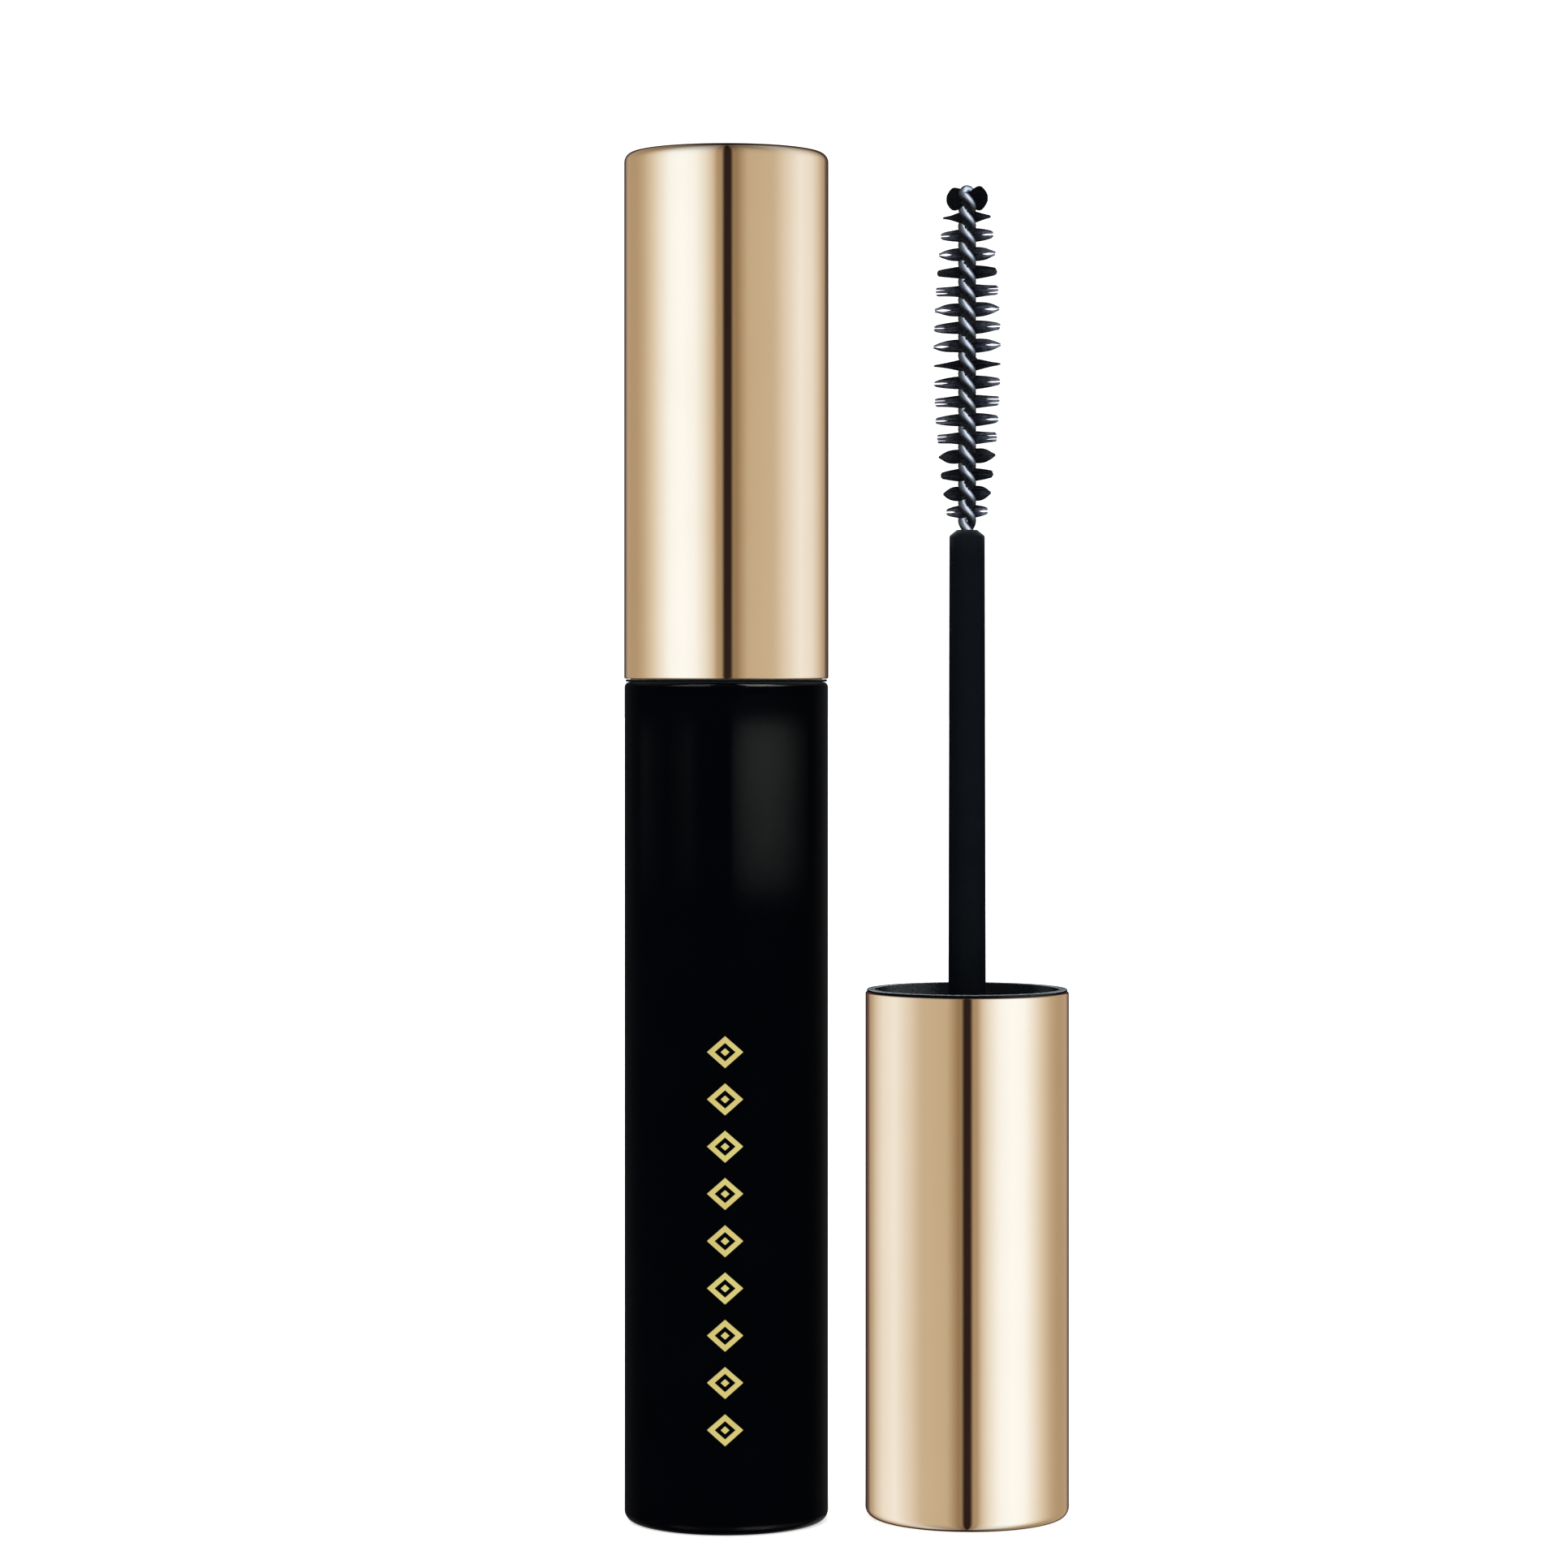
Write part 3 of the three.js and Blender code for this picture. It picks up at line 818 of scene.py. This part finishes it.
def camera():
    data = bpy.data.cameras.new("camera")
    data.lens = FOCAL_LENGTH
    data.shift_y = HORIZON_SHIFT
    data.clip_start = 0.01
    data.clip_end = 50
    eye = bpy.data.objects.new("camera", data)
    eye.location = (CAMERA_X, -CAMERA_DISTANCE, CAMERA_HEIGHT)
    eye.rotation_euler = (math.pi / 2, 0, 0)
    bpy.context.collection.objects.link(eye)
    bpy.context.scene.camera = eye


def white_world():
    """White all round for what the camera and soft light see; glossy surfaces see the panels instead."""
    world = bpy.data.worlds.new("studio")
    bpy.context.scene.world = world
    world.use_nodes = True
    tree = world.node_tree
    background = tree.nodes["Background"]
    path = tree.nodes.new("ShaderNodeLightPath")
    background.inputs["Strength"].default_value = 1.0
    tree.links.new(colours(tree, path.outputs["Is Glossy Ray"], (1.3, 1.3, 1.3), (0.006, 0.006, 0.007)),
                   background.inputs["Color"])


def floor():
    """A pale floor, lit from within like a light table, so that it keeps only faint shadows."""
    work = bmesh.new()
    bmesh.ops.create_grid(work, x_segments=2, y_segments=2, size=6)
    material, tree, shader = new_material("pale_floor")
    set_plain(shader, specular=0.0)
    tree.links.new(colours(tree, noise(tree, 40, 3), (0.93, 0.93, 0.93), (0.95, 0.95, 0.95)),
                   shader.inputs["Base Color"])
    tree.links.new(between(tree, noise(tree, 60, 3), 0.8, 0.95), shader.inputs["Roughness"])
    shader.inputs["Emission Color"].default_value = (1, 1, 1, 1)
    shader.inputs["Emission Strength"].default_value = 0.55
    ground = finished("floor", work, material)
    ground.location.z = -0.02 * MM
    ground.visible_glossy = False


def ramp(tree, value, stops, colour_of):
    """A colour ramp along a value, from stops of (value, amount) in rising order."""
    low, high = stops[0][0], stops[-1][0]
    place = tree.nodes.new("ShaderNodeMapRange")
    place.inputs["From Min"].default_value = low
    place.inputs["From Max"].default_value = high
    tree.links.new(value, place.inputs["Value"])
    node = tree.nodes.new("ShaderNodeValToRGB")
    node.color_ramp.interpolation = "LINEAR"
    elements = node.color_ramp.elements
    elements.remove(elements[1])
    elements[0].position = 0
    elements[0].color = (*colour_of(stops[0][1]), 1)
    for position, amount in stops[1:]:
        elements.new((position - low) / (high - low)).color = (*colour_of(amount), 1)
    tree.links.new(place.outputs["Result"], node.inputs["Fac"])
    return node.outputs["Color"]


def degrees_round(tree, axes):
    """Degrees round from the front: 0 towards -Y, 90 towards +X."""
    back = tree.nodes.new("ShaderNodeMath")
    back.operation = "MULTIPLY"
    back.inputs[1].default_value = -1
    tree.links.new(axes.outputs["Y"], back.inputs[0])
    azimuth = tree.nodes.new("ShaderNodeMath")
    azimuth.operation = "ARCTAN2"
    tree.links.new(axes.outputs["X"], azimuth.inputs[0])
    tree.links.new(back.outputs["Value"], azimuth.inputs[1])
    degrees = tree.nodes.new("ShaderNodeMath")
    degrees.operation = "DEGREES"
    tree.links.new(azimuth.outputs["Value"], degrees.inputs[0])
    return degrees.outputs["Value"]


def panel_material(name, layers):
    """Layers of light that change round a surround and up it.

    Each layer has round stops (degrees round from the front, brightness), height stops (metres up, share) or
    None, and a tint that gives the colour of a brightness.
    """
    material = bpy.data.materials.new(name)
    material.use_nodes = True
    tree = material.node_tree
    tree.nodes.clear()
    place = tree.nodes.new("ShaderNodeTexCoord")
    axes = tree.nodes.new("ShaderNodeSeparateXYZ")
    tree.links.new(place.outputs["Object"], axes.inputs["Vector"])
    shader = tree.nodes.new("ShaderNodeBsdfTransparent").outputs["BSDF"]
    for round_stops, height_stops, tint in layers:
        emission = tree.nodes.new("ShaderNodeEmission")
        colour = ramp(tree, degrees_round(tree, axes), round_stops, tint)
        tree.links.new(colour, emission.inputs["Color"])
        if height_stops:
            share = ramp(tree, axes.outputs["Z"], height_stops, lambda amount: (amount,) * 3)
            tree.links.new(share, emission.inputs["Strength"])
        both = tree.nodes.new("ShaderNodeAddShader")
        tree.links.new(emission.outputs["Emission"], both.inputs[0])
        tree.links.new(shader, both.inputs[1])
        shader = both.outputs["Shader"]
    output = tree.nodes.new("ShaderNodeOutputMaterial")
    tree.links.new(shader, output.inputs["Surface"])
    material.cycles.emission_sampling = "NONE"
    return material


def surround(name, shell_radius, centre, lit, layers):
    """A round wall of soft light that only the given pieces reflect, unseen by the camera."""
    work = bmesh.new()
    bmesh.ops.create_uvsphere(work, u_segments=64, v_segments=32, radius=shell_radius)
    wall = finished(name, work, panel_material(name, layers))
    wall.location = centre
    wall.visible_camera = False
    wall.visible_diffuse = False
    wall.visible_shadow = False
    wall.visible_transmission = False
    receivers = bpy.data.collections.new(name + "_lights")
    for piece in lit:
        receivers.objects.link(piece)
    wall.light_linking.receiver_collection = receivers


def gold_tint(brightness):
    """Red in the dark gaps, warm where the light is dim, and white on the metal where it is bright."""
    dark = max(0, 1 - brightness / 0.25)
    share = min(1, max(0, (brightness - 0.35) / 0.7))
    return Vector((1.0, 0.79 - 0.29 * dark + 0.45 * share ** 1.2, 0.60 + 1.16 * share ** 1.5)) * brightness


def neutral_tint(brightness):
    return Vector((1.0, 1.02, 0.94)) * brightness


def cool_tint(brightness):
    return Vector((0.90, 0.98, 1.08)) * brightness


# The lists called ROUND give the brightness round a kind of piece, from the back by the left to the back
# by the right. The lists called UP give how much of it there is at a height, in metres from the surround's
# middle. The gold has its main light at the left, a fill at the right and a narrow dark gap in front.
CAP_ROUND = [
    (-180, 0.03), (-162, 0.06), (-153, 0.34), (-145, 0.49), (-134, 0.46), (-119, 0.48), (-106, 0.57),
    (-92, 0.73), (-80, 0.88), (-65, 1.03), (-50, 1.06), (-35, 1.02), (-22, 0.87), (-14, 0.69), (-9, 0.44),
    (-4.6, 0.44), (-2, 0.02), (5.7, 0.02), (8.9, 0.37), (11.5, 0.30), (15, 0.39), (25, 0.59), (55, 0.63),
    (72, 0.80), (92, 0.94), (113, 0.87), (128, 0.70), (138, 0.53), (144, 0.47), (152, 0.15), (164, 0.05),
    (180, 0.03),
]
CAP_UP = [(-1.0, 0.3), (-0.9, 0.7), (-0.5, 1.0), (0.2, 1.0), (0.6, 0.8), (0.9, 0.45), (1.0, 0.2)]
BARREL_ROUND = [
    (-180, 0.0), (-118, 0.0), (-104, 0.03), (-88, 0.015), (-70, 0.0), (-56, 0.02), (-42, 0.04), (-30, 0.0),
    (4, 0.0), (11, 0.10), (27, 0.25), (46, 0.30), (66, 0.22), (90, 0.06), (108, 0.0), (180, 0.0),
]
BARREL_UP = [
    (0.006, 0.0), (0.016, 0.5), (0.022, 0.65), (0.036, 0.85), (0.044, 1.0), (0.052, 1.0), (0.058, 0.0),
]
EDGE_ROUND = [
    (-180, 0.015), (-150, 0.012), (-128, 0.006), (-112, 0.0), (112, 0.0), (150, 0.022), (180, 0.025),
]
SHOULDER_ROUND = [
    (-180, 0.03), (-75, 0.05), (-55, 0.7), (-28, 0.7), (-15, 0.03), (20, 0.03), (34, 2.6), (62, 2.6),
    (85, 0.10), (180, 0.03),
]
SHOULDER_UP = [(0.36, 0.0), (0.52, 1.0), (0.80, 1.0), (0.87, 0.0)]
LOW_ROUND = [
    (-180, 0.10), (-150, 0.04), (-120, 0.0), (-75, 0.0), (-50, 0.12), (-30, 0.03), (10, 0.03), (24, 0.30),
    (50, 0.34), (70, 0.08), (120, 0.0), (150, 0.14), (180, 0.10),
]
LOW_UP = [(-0.75, 0.0), (-0.55, 1.0), (-0.32, 0.8), (-0.21, 0.0)]
INSIDE_ROUND = [
    (-180, 0.3), (-110, 0.1), (-75, 0.4), (-55, 1.6), (-35, 1.6), (-20, 0.15), (15, 0.1), (30, 0.8),
    (60, 1.0), (75, 0.2), (120, 0.1), (180, 0.3),
]
PLASTIC_ROUND = [(-180, 0.7), (-100, 0.1), (100, 0.1), (180, 0.7)]
LIP_ROUND = [(-180, 2.0), (-150, 2.0), (-100, 0.1), (100, 0.1), (150, 2.0), (180, 2.0)]
MOUTH_ROUND = [(-180, 0.0), (35, 0.0), (60, 0.6), (100, 0.6), (125, 0.0), (180, 0.0)]
OVERHEAD = [(0.15, 0.0), (0.35, 1.0), (0.8, 1.0)]
WIRE_ROUND = [
    (-180, 0.04), (-100, 0.06), (-50, 0.16), (-15, 0.45), (15, 1.0), (38, 1.75), (66, 1.2), (95, 0.40),
    (120, 0.08), (180, 0.04),
]
WIRE_UP = [(-0.6, 0.0), (-0.1, 0.15), (0.12, 0.8), (0.35, 1.0), (0.84, 1.0)]
FIBRE_ROUND = [(-180, 0.03), (-110, 0.08), (-60, 0.02), (60, 0.02), (110, 0.08), (180, 0.03)]
FOIL_ROUND = [(-180, 0.8), (-40, 1.0), (30, 1.1), (180, 0.8)]


def mirrored(stops):
    return [(-degrees, brightness) for degrees, brightness in reversed(stops)]


bottle = [barrel(), foot_plug(), vial(), neck_wiper(), foil_marks()]
closed = applicator("closed", "", "applicator", "seal", CLOSED_PLACE)
loose = applicator("loose", "loose_", "loose_applicator", "loose_applicator", LOOSE_PLACE)
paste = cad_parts["mascara_fill"]
paste.data.materials[0] = PASTE

# Nothing shows in the mirror-like surfaces but the lights.
for piece in [*bottle, *closed, *loose, paste]:
    piece.visible_glossy = False


def with_material(*materials):
    return [piece for piece in [*bottle, *closed, *loose, paste] if piece.data.materials[0] in materials]


camera()
white_world()
floor()
loose_liner = loose[1]
plastics = with_material(BLACK_PLASTIC, STEM_PLASTIC)
plastics.remove(loose_liner)
hidden_pieces = with_material(VIAL_PLASTIC, WIPER_RUBBER, GASKET_FOAM, PASTE)
closed_axis = (0, 0, 0)
loose_axis = (LOOSE_AXIS.x, LOOSE_AXIS.y, 0)
surround("closed_cap_light", 1.00, closed_axis, [closed[0]], [(CAP_ROUND, CAP_UP, gold_tint)])
surround("loose_cap_light", 0.98, loose_axis, [loose[0]], [(mirrored(CAP_ROUND), CAP_UP, gold_tint)])
surround("lacquer_light", 0.90, closed_axis, with_material(LACQUER), [
    (BARREL_ROUND, BARREL_UP, neutral_tint),
    (EDGE_ROUND, None, neutral_tint),
    (SHOULDER_ROUND, SHOULDER_UP, neutral_tint),
    (LOW_ROUND, LOW_UP, neutral_tint),
])
surround("plastic_light", 0.88, loose_axis, plastics, [(PLASTIC_ROUND, OVERHEAD, cool_tint)])
surround("inside_light", 0.81, closed_axis, hidden_pieces, [(INSIDE_ROUND, None, cool_tint)])
surround("liner_light", 0.86, loose_axis, [loose_liner], [
    (LIP_ROUND, OVERHEAD, cool_tint),
    (MOUTH_ROUND, None, cool_tint),
])
surround("wire_light", 0.84, loose_axis, with_material(WIRE), [(WIRE_ROUND, WIRE_UP, cool_tint)])
surround("fibre_light", 0.83, loose_axis, with_material(NYLON), [(FIBRE_ROUND, None, cool_tint)])
surround("foil_light", 0.82, closed_axis, with_material(FOIL), [(FOIL_ROUND, None, neutral_tint)])
bpy.context.scene.view_settings.view_transform = "Standard"
